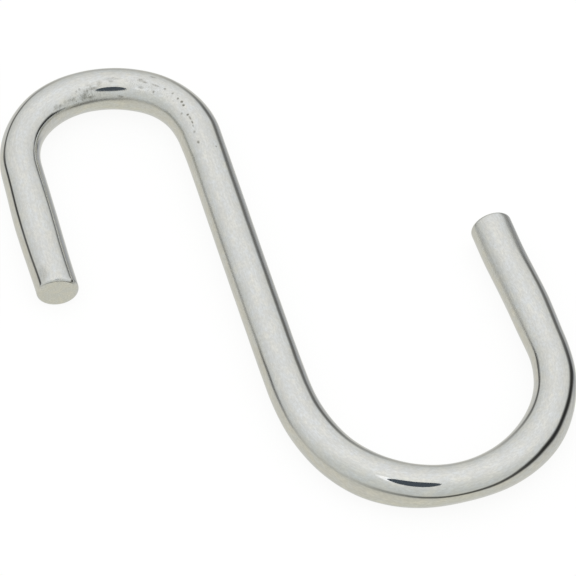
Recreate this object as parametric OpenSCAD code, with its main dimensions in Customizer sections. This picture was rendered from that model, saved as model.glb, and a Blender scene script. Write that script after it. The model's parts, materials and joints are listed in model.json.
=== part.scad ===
// S hook: one length of round steel wire, cut square at both ends and bent cold
// into a small hook at one end of a straight shank and a large hook at the other.
// It lies flat on the XY plane. The shank runs along Y, the small hook is at its
// +Y end and opens on the -X side, and the large hook opens on the +X side.

/* [Wire] */
// Diameter of the round wire
wire_d = 6.35; // [5:0.05:8]
// Radius that tumbling leaves round the edge of each cut end
edge_r = 0.6; // [0.2:0.1:1.2]
// How much the bending draws in the wire's surface, once over a bend's ends and twice over its middle
draw_in = 0.01; // [0.005:0.005:0.05]

/* [Shank] */
// Length of the straight wire between the two bends
shank_l = 47.8; // [30:0.1:80]

/* [Small hook] */
// Centreline radius of the shoulder, where the bend leaves the shank
small_shoulder_r = 11.9; // [8:0.1:20]
// Angle that the wire turns over the shoulder
small_shoulder_turn = 62; // [40:0.5:70]
// Centreline radius of the flatter crown
small_crown_r = 16.6; // [8:0.1:24]
// Angle that the wire turns over the crown
small_crown_turn = 40; // [20:0.5:50]
// Centreline radius of the far side, which runs into the leg
small_side_r = 13.2; // [8:0.1:20]
// Angle that the wire turns over the far side
small_side_turn = 76.5; // [50:0.5:80]
// Length of the straight leg, to its cut end
small_leg_l = 23.4; // [10:0.1:30]

/* [Large hook] */
// Centreline radius of the first, gentle part of the bend below the shank
large_shoulder_r = 30.9; // [10:0.1:40]
// Angle that the wire turns over that first part
large_shoulder_turn = 23; // [15:0.5:35]
// Centreline radius of the bottom, where a load sits
large_crown_r = 18.3; // [10:0.1:30]
// Angle that the wire turns over the bottom
large_crown_turn = 58; // [45:0.5:75]
// Centreline radius of the far side, which runs into the leg
large_side_r = 20; // [10:0.1:30]
// Angle that the wire turns over the far side
large_side_turn = 103; // [75:0.5:105]
// Length of the straight leg, to its cut end
large_leg_l = 23.3; // [10:0.1:30]

/* [Hidden] */
$fn = 96;
wire_r = wire_d / 2;
// Length that a drawn-in arc runs on inside its thicker neighbour
lap = 0.1;

// Each bend is a run of arcs in the order that the wire follows.
// Each arc has its centreline radius, its turn, and how many times it is drawn in.
small_bend = [
    [small_shoulder_r, small_shoulder_turn, 1],
    [small_crown_r, small_crown_turn, 2],
    [small_side_r, small_side_turn, 1]
];
large_bend = [
    [large_shoulder_r, large_shoulder_turn, 1],
    [large_crown_r, large_crown_turn, 2],
    [large_side_r, large_side_turn, 1]
];

// Angle that a whole bend turns
function total_turn(arcs, i = 0) = i == len(arcs) ? 0 : arcs[i][1] + total_turn(arcs, i + 1);

// How many times an arc is drawn in: the straight wire before and after a bend isn't
function draws(arcs, i) = i < 0 || i >= len(arcs) ? 0 : arcs[i][2];

// Angle by which an arc runs on inside its neighbour, if the neighbour is thicker
function lap_turn(arcs, i, neighbour) =
    draws(arcs, i) > draws(arcs, neighbour) ? lap / arcs[i][0] * 180 / PI : 0;

// Where the centreline is, from the start of a bend, once it has turned by an angle.
// The bend starts along +Y and turns towards -X.
function turned_point(arcs, turn, i = 0, done = 0) =
    i == len(arcs) || turn <= done ? [0, 0] :
    let (next = min(turn, done + arcs[i][1]))
    arcs[i][0] * [cos(next) - cos(done), sin(next) - sin(done)] + turned_point(arcs, turn, i + 1, next);

// How far the wire's outside stands beyond the end of the shank, along it
function crown_reach(arcs) = turned_point(arcs, 90)[1] + wire_r;

// How far the wire's outside stands from the shank's centreline, to the leg's side.
// A bend of less than a half turn leaves its leg splayed, so its rounded tip reaches furthest.
function side_reach(arcs, leg_l) =
    let (splay = max(0, 180 - total_turn(arcs)))
    -turned_point(arcs, 180)[0] + (leg_l - edge_r) * sin(splay) + (wire_r - edge_r) * cos(splay) + edge_r;

// Centre of the hook's outline, from the large hook's end of the shank
middle = [
    (side_reach(large_bend, large_leg_l) - side_reach(small_bend, small_leg_l)) / 2,
    (shank_l + crown_reach(small_bend) - crown_reach(large_bend)) / 2
];

// Straight wire along +Y, and what follows it, set at its end
module straight(length) {
    rotate([-90, 0, 0]) cylinder(h = length, r = wire_r);
    translate([0, length, 0]) children();
}

// One arc of a bend, which turns from +Y towards -X, and what follows it, set at its end
module arc(arcs, i) {
    radius = arcs[i][0];
    turn = arcs[i][1];
    lap_in = lap_turn(arcs, i, i - 1);
    lap_out = lap_turn(arcs, i, i + 1);
    translate([-radius, 0, 0]) {
        rotate([0, 0, -lap_in]) rotate_extrude(angle = lap_in + turn + lap_out)
            translate([radius, 0]) circle(r = wire_r - draws(arcs, i) * draw_in);
        rotate([0, 0, turn]) translate([radius, 0, 0]) children();
    }
}

// A run of arcs, and what follows it
module bend(arcs, i = 0) {
    if (i < len(arcs)) {
        arc(arcs, i) bend(arcs, i + 1) children();
    } else {
        children();
    }
}

// Last of a leg: a flat cut face with a rounded edge
module cut_end() {
    rotate([-90, 0, 0]) rotate_extrude() {
        square([wire_r - edge_r, edge_r]);
        translate([wire_r - edge_r, 0]) intersection() {
            circle(r = edge_r);
            square(edge_r);
        }
    }
}

// Bend, leg and cut end of one hook
module hook(arcs, leg_l) {
    bend(arcs) straight(leg_l - edge_r) cut_end();
}

module s_hook() {
    color("silver") translate([-middle[0], -middle[1], wire_r]) {
        straight(shank_l) hook(small_bend, small_leg_l);
        rotate([0, 0, 180]) hook(large_bend, large_leg_l);
    }
}

s_hook();
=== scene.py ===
import json
import math

import bpy
from mathutils import Matrix, Vector, noise


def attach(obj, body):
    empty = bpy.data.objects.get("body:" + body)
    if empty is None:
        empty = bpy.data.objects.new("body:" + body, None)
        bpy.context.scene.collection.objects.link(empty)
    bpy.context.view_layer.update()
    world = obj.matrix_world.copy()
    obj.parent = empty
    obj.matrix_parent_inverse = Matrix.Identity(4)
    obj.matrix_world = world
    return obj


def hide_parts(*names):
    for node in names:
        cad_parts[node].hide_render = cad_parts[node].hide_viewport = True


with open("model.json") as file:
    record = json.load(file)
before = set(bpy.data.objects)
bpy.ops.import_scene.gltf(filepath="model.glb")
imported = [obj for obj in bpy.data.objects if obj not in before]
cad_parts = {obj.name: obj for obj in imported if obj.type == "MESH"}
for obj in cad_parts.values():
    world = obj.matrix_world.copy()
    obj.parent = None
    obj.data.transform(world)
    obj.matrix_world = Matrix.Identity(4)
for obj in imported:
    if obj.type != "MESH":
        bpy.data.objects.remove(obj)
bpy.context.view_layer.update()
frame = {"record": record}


# The camera. It looks down on the hook as it lies, from beyond the large hook and a little to
# the left, just under a metre away through a long lens, and it is rolled a few degrees.
camera_azimuth = math.radians(-20.02)
camera_elevation = math.radians(52.66)
camera_roll = math.radians(5.2)
camera_distance = 0.9438
# The middle of the view, to the right of the origin and above it as the camera sees it, and how
# wide the view is there
camera_aim = Vector((0.00015, 0.00066, 0.0))
view_width = 0.0861
furthest_seen = 20

camera_turn = (
    Matrix.Rotation(camera_azimuth, 4, "Z")
    @ Matrix.Rotation(math.pi / 2 - camera_elevation, 4, "X")
    @ Matrix.Rotation(camera_roll, 4, "Z")
)
bpy.ops.object.camera_add(
    location=camera_turn @ (camera_aim + Vector((0, 0, camera_distance))),
    rotation=camera_turn.to_euler(),
)
camera = bpy.context.object
camera.data.lens = camera.data.sensor_width * camera_distance / view_width
camera.data.clip_end = furthest_seen
bpy.context.scene.camera = camera


# The hook. One length of drawn steel wire, cut square, tumbled so that its cut edges are round,
# bent cold, tightly for the small hook and widely for the large one, and then zinc plated.
# It is modelled from the small hook's tip, along the wire, to the large hook's tip.
mounts = {mount["name"]: mount for mount in frame["record"]["mounts"]}
small_pin, large_pin = mounts["small_leg"], mounts["large_leg"]
# Millimetres in a metre
mm = 1000
wire_r = small_pin["dims"]["r_mm"] / mm
edge_r = 0.0006
small_leg_l = small_pin["dims"]["length_mm"] / mm + edge_r
large_leg_l = large_pin["dims"]["length_mm"] / mm + edge_r
shank_l = 0.0478
# Each bend's arcs in their order along the wire: radius to the wire's middle, and degrees
small_bend = ((0.0132, 76.5), (0.0166, 40), (0.0119, 62))
large_bend = ((0.0309, 23), (0.0183, 58), (0.02, 103))
clockwise, anticlockwise = -1, 1
# The mesh: its faces round the wire, the gap between rings on a bend, the rings on a rim, and
# within what distance points are welded
sides = 112
ring_gap = 0.0005
edge_rings = 8
weld_gap = 1e-7

# A leg's pin is measured at its middle, and ends where the cut edge starts to round
small_axis = Vector(small_pin["axis"])
small_tip = Vector(small_pin["pos_m"]) + small_axis * ((small_leg_l + edge_r) / 2)


class Stretch:
    """A straight or evenly bent length of the wire, measured along its middle line"""

    def __init__(self, start, heading, along, length, radius=0.0, way=0):
        self.start, self.heading, self.along, self.length = start, heading, along, length
        self.radius, self.way = radius, way
        self.left = Vector((-heading.y, heading.x, 0))
        self.centre = start + self.left * radius * way
        self.turn = length / radius * way if radius else 0.0

    def end(self):
        """Where the next stretch starts, and its heading"""
        if not self.radius:
            return self.start + self.heading * self.length, self.heading
        turned = Matrix.Rotation(self.turn, 3, "Z")
        return self.centre + turned @ (self.start - self.centre), turned @ self.heading

    def place(self, point):
        """How far along this stretch a point is, and how far to the left of its middle line"""
        out = point - self.start
        if not self.radius:
            return out.dot(self.heading), out.dot(self.left)
        spoke = Vector((point.x, point.y, 0)) - Vector((self.centre.x, self.centre.y, 0))
        first = -self.left * self.way
        angle = math.atan2(first.x * spoke.y - first.y * spoke.x, first.dot(spoke)) * self.way
        return angle * self.radius, (self.radius - spoke.length) * self.way

    def point(self, along, left, up):
        """The point at that place on the bent wire; up is from the middle line"""
        if not self.radius:
            on_line, side = self.start + self.heading * along, self.left
        else:
            turned = Matrix.Rotation(along / self.radius * self.way, 3, "Z")
            on_line = self.centre + turned @ (self.start - self.centre)
            side = turned @ self.left
        return on_line + side * left + Vector((0, 0, up))


stretches = []


def lay(length, radius=0.0, way=0):
    """Adds the next stretch to the middle line"""
    if stretches:
        start, heading = stretches[-1].end()
        along = stretches[-1].along + stretches[-1].length
    else:
        start, heading, along = small_tip, -small_axis, 0.0
    stretches.append(Stretch(start, heading, along, length, radius, way))


lay(small_leg_l)
for radius, degrees in small_bend:
    lay(radius * math.radians(degrees), radius, clockwise)
lay(shank_l)
for radius, degrees in large_bend:
    lay(radius * math.radians(degrees), radius, anticlockwise)
lay(large_leg_l)

# A disc at the small tip is drawn along every stretch. Spin turns the other way from a rotation.
bpy.ops.object.select_all(action="DESELECT")
bpy.ops.mesh.primitive_circle_add(
    vertices=sides, radius=wire_r, fill_type="NGON", location=small_tip,
    rotation=(math.pi / 2, 0, math.atan2(-small_axis.x, small_axis.y)),
)
hook = bpy.context.object
hook.name = "bent_wire"
bpy.ops.object.transform_apply(location=True, rotation=True, scale=True)
bpy.ops.object.mode_set(mode="EDIT")
bpy.ops.mesh.select_mode(type="FACE")
bpy.ops.mesh.select_all(action="SELECT")
for stretch in stretches:
    rings = round(stretch.length / ring_gap)
    if stretch.radius:
        bpy.ops.mesh.spin(steps=rings, angle=-stretch.turn, center=stretch.centre, axis=(0, 0, 1))
    else:
        # Half as many are enough where it is straight
        rings //= 2
        step = stretch.heading * (stretch.length / rings)
        for _ in range(rings):
            bpy.ops.mesh.extrude_region_move(TRANSFORM_OT_translate={"value": step})

# The tumbled rim round each cut face, and a narrow flat inside it
bpy.ops.mesh.select_all(action="DESELECT")
bpy.ops.mesh.select_face_by_sides(number=sides, type="EQUAL", extend=False)
bpy.ops.mesh.region_to_loop()
bpy.ops.mesh.bevel(offset=edge_r, segments=edge_rings, profile=0.5, affect="EDGES")
bpy.ops.mesh.select_mode(type="FACE")
bpy.ops.mesh.select_all(action="DESELECT")
bpy.ops.mesh.select_face_by_sides(number=sides, type="EQUAL", extend=False)
bpy.ops.mesh.inset(thickness=edge_r / edge_rings)
bpy.ops.mesh.select_all(action="SELECT")
bpy.ops.mesh.remove_doubles(threshold=weld_gap)
bpy.ops.mesh.normals_make_consistent(inside=False)
bpy.ops.object.mode_set(mode="OBJECT")
bpy.ops.object.shade_smooth()

# Where the bending tool left the wire wider or narrower, or a little aside, all in mm: how far
# along that is, over what reach, and how far the left and the right side moved out. What lies
# nearer the middle than side_start, a share of the radius, moves less.
tool_moves = (
    (1, 5, -0.15, 0.13), (13.5, 6.5, 0.22, 0.06), (63.5, 4, 0.0, 0.25),
    (90, 14, -0.05, 0.04), (115, 4, 0.13, -0.08), (123, 5, 0.1, 0.12),
    (178.5, 4, -0.03, -0.18), (188.5, 4.5, -0.02, 0.18), (197.5, 4, 0.13, -0.1),
)
side_start = 0.75
# Where the tool pinched the wire, in the same way, and the degrees that it pinched up from level.
# A pinch fades round the wire by this power of a cosine.
pinch_power = 4
pinches = (
    (31, 6, -0.17, -0.19, 10), (43, 5, -0.02, -0.1, 36), (133.5, 7.5, 0.2, 0.4, 36),
    (148, 5.5, -0.15, -0.41, 36), (163, 6, 0.13, 0.31, 18),
)
# The shear cut the small tip out of square and a little short
cut_slope, cut_short, cut_reach = 0.098, 0.14, 3.0
# Faint waves, and their size across and along the wire
wave_height, wave_across, wave_along = 0.02, 2.4, 3.4
radius_mm = wire_r * mm

# Each point keeps its place on the wire as it was before bending, in mm: left, up and along.
# Then the wire takes the marks of its making.
unbent = hook.data.attributes.new("unbent_mm", "FLOAT_VECTOR", "POINT")
for vertex, place in zip(hook.data.vertices, unbent.data):
    # The stretch that the point is on is the one that it is least far past the end of
    found = []
    for stretch in stretches:
        along, left = stretch.place(vertex.co)
        past = max(-along, along - stretch.length, 0)
        found.append((math.hypot(past, left), along, left, stretch))
    _, along, left, stretch = min(found, key=lambda row: row[0])
    up = vertex.co.z - wire_r
    before = stretch.along * mm
    at, aside = before + along * mm, left * mm
    place.vector = aside, up * mm, at
    # Eased from 0 on the right side to 1 on the left
    lean = max(-1, min(1, aside / radius_mm / side_start))
    leftward = 0.5 + 0.75 * lean - 0.25 * lean**3
    moved = aside
    for middle, reach, left_out, right_out in tool_moves:
        share = math.exp(-(((at - middle) / reach) ** 2))
        moved += share * (left_out * leftward - right_out * (1 - leftward))
    for middle, reach, left_out, right_out, tilt in pinches:
        share = math.exp(-(((at - middle) / reach) ** 2))
        facing = math.cos(math.atan2(up, left) - math.radians(tilt))
        moved += share * (left_out if facing > 0 else -right_out) * facing**pinch_power
    at += max(0, 1 - at / cut_reach) ** 2 * (cut_slope * aside + cut_short)
    wave_place = aside / wave_across, up * mm / wave_across, at / wave_along
    swelling = 1 + wave_height * noise.noise(wave_place) / radius_mm
    vertex.co = stretch.point((at - before) / mm, moved * swelling / mm, up * swelling)


class Shade:
    """An output of a shader node, or with no socket a node tree

    With it, shader maths reads as Python.
    """

    def __init__(self, tree, socket=None):
        self.tree, self.socket = tree, socket

    def node(self, kind, settings=None, values=None, output=0):
        """Adds a node: its settings are set first, then the values or links of its sockets"""
        made = self.tree.nodes.new(kind)
        for name, setting in (settings or {}).items():
            if name == "stops":
                for _ in setting[len(made.color_ramp.elements):]:
                    made.color_ramp.elements.new(0.5)
                for stop, (position, colour) in zip(made.color_ramp.elements, setting):
                    stop.position, stop.color = position, (*colour, 1)
            else:
                setattr(made, name, setting)
        for name, value in (values or {}).items():
            if isinstance(value, Shade):
                self.tree.links.new(value.socket, made.inputs[name])
            else:
                made.inputs[name].default_value = value
        return Shade(self.tree, made.outputs[output])

    def feed(self, shader, name):
        """Links this output to a socket of the shader"""
        self.tree.links.new(self.socket, shader.inputs[name])

    def maths(self, operation, first, second=0.0):
        return self.node("ShaderNodeMath", {"operation": operation}, {0: first, 1: second})

    def __add__(self, other):
        return self.maths("ADD", self, other)

    __radd__ = __add__

    def __sub__(self, other):
        return self.maths("SUBTRACT", self, other)

    def __mul__(self, other):
        return self.maths("MULTIPLY", self, other)

    __rmul__ = __mul__

    def __truediv__(self, other):
        return self.maths("DIVIDE", self, other)

    def __pow__(self, power):
        return self.maths("POWER", self, power)

    def __neg__(self):
        return self * -1.0

    def most(self, other):
        return self.maths("MAXIMUM", self, other)

    def fade(self, start, end):
        """0 before start and 1 past end, eased between them"""
        values = {"Value": self, "From Min": start, "From Max": end}
        return self.node("ShaderNodeMapRange", {"interpolation_type": "SMOOTHSTEP"}, values)

    def vector_maths(self, operation, other, output=0):
        settings = {"operation": operation}
        return self.node("ShaderNodeVectorMath", settings, {0: self, 1: other}, output)

    def blend(self, first, second):
        """A colour that goes from the first to the second as this value goes from 0 to 1"""
        first, second = ((*c, 1) if isinstance(c, tuple) else c for c in (first, second))
        factor, first_colour, second_colour, mixed_colour = 0, 6, 7, 2
        values = {factor: self, first_colour: first, second_colour: second}
        return self.node("ShaderNodeMix", {"data_type": "RGBA"}, values, mixed_colour)


def new_shader(tree, kind, output_kind):
    """Empties a node tree and gives it one shader that is linked to its output"""
    tree.nodes.clear()
    shader = tree.nodes.new(kind)
    tree.links.new(shader.outputs[0], tree.nodes.new(output_kind).inputs[0])
    return shader


# Bright zinc: a mirror that drawing lines, thin hazy bands and a fine grain run along
warm_silver, cool_silver = (0.806, 0.792, 0.742), (0.756, 0.78, 0.804)
cloud_grey, cloud_strength = (0.67, 0.68, 0.68), 0.5
line_grey, line_strength = (0.66, 0.66, 0.645), 0.5
grain_grey, grain_strength = (0.62, 0.62, 0.605), 0.62
mark_brown = (0.19, 0.185, 0.155)
mark_strength, pit_strength = 0.6875, 0.5625
polish, cloud_haze, dull_haze, mark_haze = 0.035, 0.04, 0.16, 0.15
line_relief, grain_relief, relief_strength, relief_m = 0.5, 0.3, 0.6, 0.000003
# The values between which each noise goes from nothing to its full strength
tint_range, cloud_range, line_range = (0.35, 0.65), (0.3, 0.7), (0.35, 0.7)
grain_range, pit_range, tick_range = (0.32, 0.68), (0.38, 0.62), (0.56, 0.67)

zinc = bpy.data.materials.new("bright_zinc")
zinc.use_nodes = True
zinc_shader = new_shader(zinc.node_tree, "ShaderNodeBsdfPrincipled", "ShaderNodeOutputMaterial")
zinc_shader.inputs["Metallic"].default_value = 1.0
zinc_nodes = Shade(zinc.node_tree)
unbent_place = zinc_nodes.node(
    "ShaderNodeAttribute", {"attribute_name": "unbent_mm"}, output="Vector"
)


def wire_noise(around, along, detail=3.0):
    """Noise on the unbent wire, with its size round and along the wire in mm"""
    scaled = unbent_place.vector_maths("MULTIPLY", (1 / around, 1 / around, 1 / along))
    values = {"Vector": scaled, "Scale": 1.0, "Detail": detail, "Roughness": 0.5}
    return zinc_nodes.node("ShaderNodeTexNoise", {}, values)


drawing_lines = wire_noise(around=0.35, along=5.0)
clouds = wire_noise(around=1.4, along=2.6)
tints = wire_noise(around=1.1, along=1.8, detail=4.0)
grain = wire_noise(around=0.26, along=0.55, detail=2.0)
pits = wire_noise(around=0.24, along=0.3, detail=1.0).fade(*pit_range)
ticks = wire_noise(around=0.4, along=0.14, detail=1.0).fade(*tick_range)

# Where the bending tool and the plating rack marked the wire: along, round, length and width of
# each mark, in mm, but round is in degrees, from the wire's left over its top. The last is how
# dark it is: under a half it is a stain, and near one a speck.
tool_marks = (
    (2.3, 55, 2.6, 1.6, 0.2), (36.8, 132, 1.0, 0.7, 0.42), (37.7, 136, 0.9, 0.5, 0.4),
    (38.9, 133, 0.8, 0.6, 0.3), (39.8, 135, 1.1, 0.5, 0.3), (40.6, 137, 0.9, 0.6, 0.42),
    (41.6, 119, 0.4, 0.35, 0.35), (42.2, 116, 0.4, 0.45, 0.4), (42.6, 140, 1.4, 0.9, 0.6),
    (42.9, 132, 0.7, 1.1, 0.5), (43.4, 126, 0.45, 0.9, 0.5), (43.9, 145, 1.3, 0.5, 0.6),
    (44.4, 122, 1.7, 0.5, 0.5), (44.3, 111, 1.7, 0.4, 0.22), (45.7, 111, 0.9, 0.9, 0.38),
    (47.6, 107, 0.9, 0.5, 0.36), (47.9, 99, 2.4, 0.5, 0.26), (49.3, 150, 1.1, 0.5, 0.4),
    (52.3, 97, 0.8, 0.5, 0.48), (53.0, 101, 0.9, 0.35, 0.46), (52.6, 118, 0.9, 0.4, 0.46),
    (53.9, 76, 1.0, 0.35, 0.42), (54.9, 101, 1.3, 0.35, 0.46), (55.0, 120, 0.36, 0.4, 0.8),
    (56.5, 99, 0.45, 0.35, 0.6), (58.0, 99, 0.36, 0.4, 0.5), (59.3, 102, 0.36, 0.4, 0.72),
    (60.2, 101, 0.45, 0.45, 0.95), (60.9, 104, 0.45, 0.42, 0.9), (62.0, 121, 0.4, 0.38, 0.66),
    (62.9, 110, 0.4, 0.38, 0.85), (63.7, 109, 0.9, 0.26, 0.72), (64.7, 109, 0.7, 0.24, 0.7),
    (65.5, 111, 0.6, 0.24, 0.5), (66.6, 114, 0.45, 0.4, 0.55), (68.6, 114, 0.6, 0.4, 0.75),
    (70.1, 71, 0.35, 0.3, 0.55),
)
# Where the tool left it dull, in the same way
dull_patches = (
    (0.3, 95, 1.0, 2.5, 2.0), (49, 158, 26, 2.6, 1.2), (53.6, 112, 6.0, 3.0, 1.3),
    (86, 36, 56, 2.2, 0.9), (88, 147, 70, 2.1, 0.9), (194, 37, 28, 2.8, 2.0),
    (200, 133, 15, 2.6, 1.7),
)
# Where the die left fine ticks across the wire, in the same way
ticked_patches = (
    (37, 143, 6, 1.2, 0.5), (42.5, 139, 8, 1.7, 0.7), (45, 119, 4, 1.4, 0.35),
    (54.5, 112, 12, 2.4, 0.2),
)


def patches(rows):
    """How strongly each point is covered by the rows' ovals, with their edges at 1"""
    faded_out, full = 1.5, 0.3
    cover = 0.0
    for along, degrees, length, width, strength in rows:
        angle = math.radians(degrees)
        on_skin = Vector((math.cos(angle), math.sin(angle), 0)) * radius_mm
        offset = unbent_place.vector_maths("SUBTRACT", on_skin + Vector((0, 0, along)))
        size = offset.vector_maths("MULTIPLY", (2 / width, 2 / width, 2 / length))
        distance = size.vector_maths("LENGTH", (0, 0, 0), output="Value")
        cover = (distance.fade(faded_out, full) * strength).most(cover)
    return cover


pitted = patches(tool_marks) * (mark_strength + pit_strength * pits)
marks = pitted.most(patches(ticked_patches) * ticks)
dull = patches(dull_patches)
silver = tints.fade(*tint_range).blend(warm_silver, cool_silver)
clouded = (clouds.fade(*cloud_range) * cloud_strength).blend(silver, cloud_grey)
lined = (drawing_lines.fade(*line_range) * line_strength).blend(clouded, line_grey)
grained = (grain.fade(*grain_range) * grain_strength).blend(lined, grain_grey)
marks.blend(grained, mark_brown).feed(zinc_shader, "Base Color")
roughness = polish + cloud_haze * clouds + dull_haze * dull + mark_haze * marks
roughness.feed(zinc_shader, "Roughness")
height = line_relief * drawing_lines + grain_relief * grain
relief = {"Strength": relief_strength, "Distance": relief_m, "Height": height}
zinc_nodes.node("ShaderNodeBump", {}, relief).feed(zinc_shader, "Normal")
hook.data.materials.append(zinc)
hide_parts("s_hook")
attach(hook, "root")


# The floor. A white card that glows for the camera alone, so that it comes out white and still
# takes the hook's soft shadow. Mirror rays pass it by and meet the tent's pale base in its
# place, because the dark gap that the wire mirrors lies lower than the floor's far edge.
floor_side = 8
floor_shade, floor_glow = 0.15, 0.88

bpy.ops.mesh.primitive_plane_add(size=floor_side)
floor = bpy.context.object
floor.name = "floor"
floor.visible_glossy = False
white = bpy.data.materials.new("white_floor")
white.use_nodes = True
floor_shader = new_shader(white.node_tree, "ShaderNodeBsdfPrincipled", "ShaderNodeOutputMaterial")
floor_shader.inputs["Base Color"].default_value = (floor_shade, floor_shade, floor_shade, 1)
floor_shader.inputs["Roughness"].default_value = 1.0
floor_shader.inputs["Specular IOR Level"].default_value = 0.0
floor_shader.inputs["Emission Strength"].default_value = floor_glow
camera_ray = Shade(white.node_tree).node("ShaderNodeLightPath", output="Is Camera Ray")
camera_ray.blend((0, 0, 0), (1, 1, 1)).feed(floor_shader, "Emission Color")
floor.data.materials.append(white)


# The tent. Soft white cloth, brightest overhead and greyer on the camera's side, over a pale
# base with a warm card on the left and a grey one on the right. Between cloth and base runs a
# dark gap that widens on the right, and the cloth has one bright window.
tent = bpy.data.worlds.new("tent")
tent.use_nodes = True
bpy.context.scene.world = tent
tent_shader = new_shader(tent.node_tree, "ShaderNodeBackground", "ShaderNodeOutputWorld")
tent_nodes = Shade(tent.node_tree)
direction = tent_nodes.node("ShaderNodeTexCoord", output="Generated")


def parts(vector):
    """A vector's or a colour's three numbers"""
    return [vector.node("ShaderNodeSeparateXYZ", {}, {0: vector}, axis) for axis in range(3)]


# Degrees above the horizon, and degrees clockwise from north, which is the hook's +Y
east, north, up = parts(direction)
level = (east * east + north * north) ** 0.5
elevation = tent_nodes.maths("ARCSINE", up) * math.degrees(1)
bearing = tent_nodes.maths("ARCTAN2", east, north) * math.degrees(1)

# The light of the wall behind the hook and of the wall on the camera's side, by elevation
far_wall = (
    (-90, (0.71, 0.71, 0.67)), (-40, (0.715, 0.712, 0.67)), (-26, (0.69, 0.688, 0.65)),
    (-12, (0.65, 0.65, 0.615)), (14, (0.76, 0.774, 0.75)), (28, (0.85, 0.856, 0.838)),
    (44, (0.926, 0.931, 0.912)), (60, (0.99, 0.996, 0.985)), (90, (1.02, 1.025, 1.005)),
)
near_wall = (
    (-90, (0.71, 0.703, 0.615)), (-40, (0.73, 0.722, 0.635)), (-26, (0.71, 0.70, 0.61)),
    (-14, (0.68, 0.67, 0.59)), (10, (0.67, 0.686, 0.653)), (28, (0.735, 0.752, 0.72)),
    (44, (0.8, 0.815, 0.785)), (60, (0.88, 0.89, 0.865)), (75, (0.96, 0.97, 0.945)),
    (90, (1.02, 1.03, 1.0)),
)


def wall(rows):
    """The light of a wall at each elevation"""
    stops = [((degrees + 90) / 180, colour) for degrees, colour in rows]
    return tent_nodes.node("ShaderNodeValToRGB", {"stops": stops}, {0: elevation / 180 + 0.5})


# The far wall gives way to the near one between these cosines of the angle to the camera's side
near_wall_range = (-0.35, 1.0)
camera_side = camera_turn.to_3x3() @ Vector((0, 0, 1))
camera_side = Vector((camera_side.x, camera_side.y, 0)).normalized()
facing_camera = direction.vector_maths("DOT_PRODUCT", camera_side, output="Value") / level
lit = facing_camera.fade(*near_wall_range).blend(wall(far_wall), wall(near_wall))

# The cards stand below the horizon, the warm one on the left and the grey one on the right. Each
# edge goes from nothing at its first value to full at its second. The sides are in cosines of the
# angle to the card's middle, the tops in degrees below the horizon, the feet in degrees above it.
warm_card, grey_card = (0.735, 0.722, 0.645), (0.46, 0.47, 0.475)
warm_side, warm_top, warm_foot = (0.2, 0.8), (8, 20), (-70, -40)
grey_side, grey_top, grey_foot = (0.92, 0.99), (2, 14), (-46, -22)
grey_bearing = math.radians(58)
to_left = -east / level
warm = to_left.fade(*warm_side) * (-elevation).fade(*warm_top) * elevation.fade(*warm_foot)
lit = warm.blend(lit, warm_card)
to_right = (east * math.sin(grey_bearing) + north * math.cos(grey_bearing)) / level
grey = to_right.fade(*grey_side) * (-elevation).fade(*grey_top) * elevation.fade(*grey_foot)
lit = grey.blend(lit, grey_card)

# The dark gap, by bearing: its middle's elevation, half its height, both in degrees, and how dark
gap_black = (0.02, 0.02, 0.02)
gap_rows = (
    (-180, -11, 7, 0.86), (-168, -7.5, 6, 0.8), (-156, -2, 6, 0.6), (-140, 0, 6, 0.4),
    (-120, -1, 6, 0.12), (-95, -7, 6, 0.1), (-78, -7, 6, 0.18), (-62, -5, 6.5, 0.66),
    (-51, -6, 6, 0.95), (-40, -10, 8, 0.8), (-28, -7, 6, 0.85), (-14, -5, 7, 0.75),
    (-6, -8, 8, 0.52), (6, -15, 14, 0.15), (24, -14, 16, 0.16), (32, -2, 12, 0.42),
    (44, 3, 11.5, 0.78), (54, -0.5, 11.5, 0.76), (66, -6.5, 14, 0.95), (78, 0.5, 12, 0.98),
    (92, 5, 10.5, 0.98), (112, 6, 10, 0.98), (124, 2, 9.5, 0.95), (136, -5, 9, 0.9),
    (150, -10.5, 8.5, 0.88), (164, -12.5, 7.5, 0.88), (180, -11, 7, 0.86),
)
gap_sharpness = 4
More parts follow.
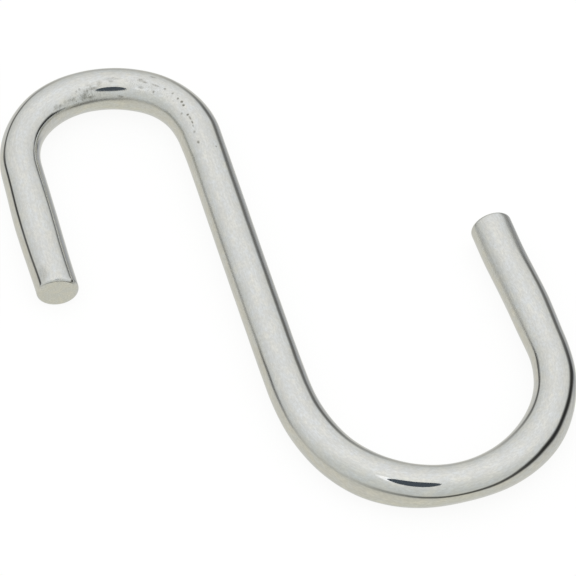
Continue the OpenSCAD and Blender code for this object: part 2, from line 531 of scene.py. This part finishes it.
# The ramp carries the three numbers as a colour, each scaled to lie between 0 and 1
gap_stops = [
    ((degrees + 180) / 360, ((middle + 90) / 180, half_height / 90, darkness))
    for degrees, middle, half_height, darkness in gap_rows
]
gap = tent_nodes.node("ShaderNodeValToRGB", {"stops": gap_stops}, {0: bearing / 360 + 0.5})
gap_middle, gap_half, gap_dark = parts(gap)
off_gap = (elevation + 90 - gap_middle * 180) / (gap_half * 90)
in_gap = tent_nodes.maths("EXPONENT", -(off_gap**gap_sharpness))
lit = (in_gap * gap_dark).blend(lit, gap_black)

# The window, up and to the left of the camera, by how far a direction leans across and above. It
# is an oval with a soft edge. The sill leaves out its double, which lies below the horizon.
window_across, window_above = -0.165, 0.22
window_half_width, window_half_height = 0.07, 0.17
window_edge, window_sill = (1.3, 0.5), (0.0, 0.1)
window_light = (1.3, 1.31, 1.32)
camera_right = camera_turn.to_3x3() @ Vector((1, 0, 0))
camera_up = camera_turn.to_3x3() @ Vector((0, 1, 0))
across = direction.vector_maths("DOT_PRODUCT", camera_right, output="Value") - window_across
above = direction.vector_maths("DOT_PRODUCT", camera_up, output="Value") - window_above
off_window = (across / window_half_width) ** 2 + (above / window_half_height) ** 2
in_window = off_window.fade(*window_edge) * up.fade(*window_sill)
lit = in_window.blend(lit, window_light)
camera_ray = tent_nodes.node("ShaderNodeLightPath", output="Is Camera Ray")
camera_ray.blend(lit, (1, 1, 1)).feed(tent_shader, "Color")


# The lens hole in the tent's roof, which the bends mirror as a black spot: a dark disc closer
# than the camera, beside its line of sight. Only mirror rays meet it.
lens_r = 0.061
lens_sides = 96
lens_place = camera_turn @ Vector((0.027, 0.021, 0.28))
lens_dark = (0.075, 0.092, 0.112, 1)

bpy.ops.mesh.primitive_circle_add(
    vertices=lens_sides, radius=lens_r, fill_type="NGON", location=lens_place,
    rotation=camera_turn.to_euler(),
)
lens_hole = bpy.context.object
lens_hole.name = "lens_hole"
lens_hole.visible_camera = False
lens_hole.visible_diffuse = False
lens_hole.visible_shadow = False
dark = bpy.data.materials.new("dark_hole")
dark.use_nodes = True
lens_shader = new_shader(dark.node_tree, "ShaderNodeEmission", "ShaderNodeOutputMaterial")
lens_shader.inputs["Color"].default_value = lens_dark
lens_hole.data.materials.append(dark)

# The picture's tones
bpy.context.scene.view_settings.view_transform = "Standard"
